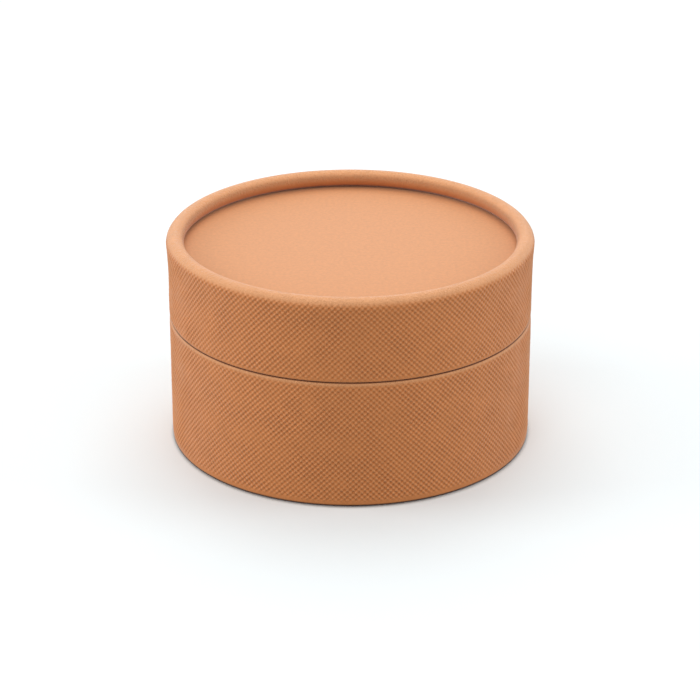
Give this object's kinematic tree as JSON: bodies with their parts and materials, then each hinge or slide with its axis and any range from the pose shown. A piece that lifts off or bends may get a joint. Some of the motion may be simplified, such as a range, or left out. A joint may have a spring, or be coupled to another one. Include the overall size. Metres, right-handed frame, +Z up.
{
  "type": "cylindrical gift tube box",
  "caption": "Round rigid paper box with a lift-off lid: the lid's rim is rolled into a bead round a sunk top panel, and a glued-in neck guides the lid. Embossed paper covers the wall.",
  "frame": {"origin": "centre of the foot, on the table the box stands on", "axes": "+Z up along the axis of the tube, the way the lid lifts off"},
  "size_m": [0.1008, 0.1008, 0.0592],
  "materials": {
    "embossed_cover_paper": "matt, fine diagonal crosshatch emboss",
    "smooth_facing_paper": "matt, smooth",
    "lining_paper": "matt, smooth",
    "board": "matt greyboard"
  },
  "bodies": {
    "base": {"base_tube": "board", "base_wrap": "embossed_cover_paper", "base_board": "board", "base_underside_paper": "smooth_facing_paper", "neck_tube": "board", "neck_wrap": "smooth_facing_paper", "neck_lining": "lining_paper", "floor_paper": "lining_paper"},
    "lid": {"lid_tube": "board", "lid_wrap": "embossed_cover_paper", "lid_top_board": "board", "lid_top_paper": "smooth_facing_paper", "lid_ceiling_paper": "lining_paper", "lid_lining": "lining_paper"}
  },
  "joints": [
    {"name": "lid_lift", "type": "slide", "parent": "base", "child": "lid", "axis": [0, 0, 1], "range_m": [0, 0.08]}
  ]
}
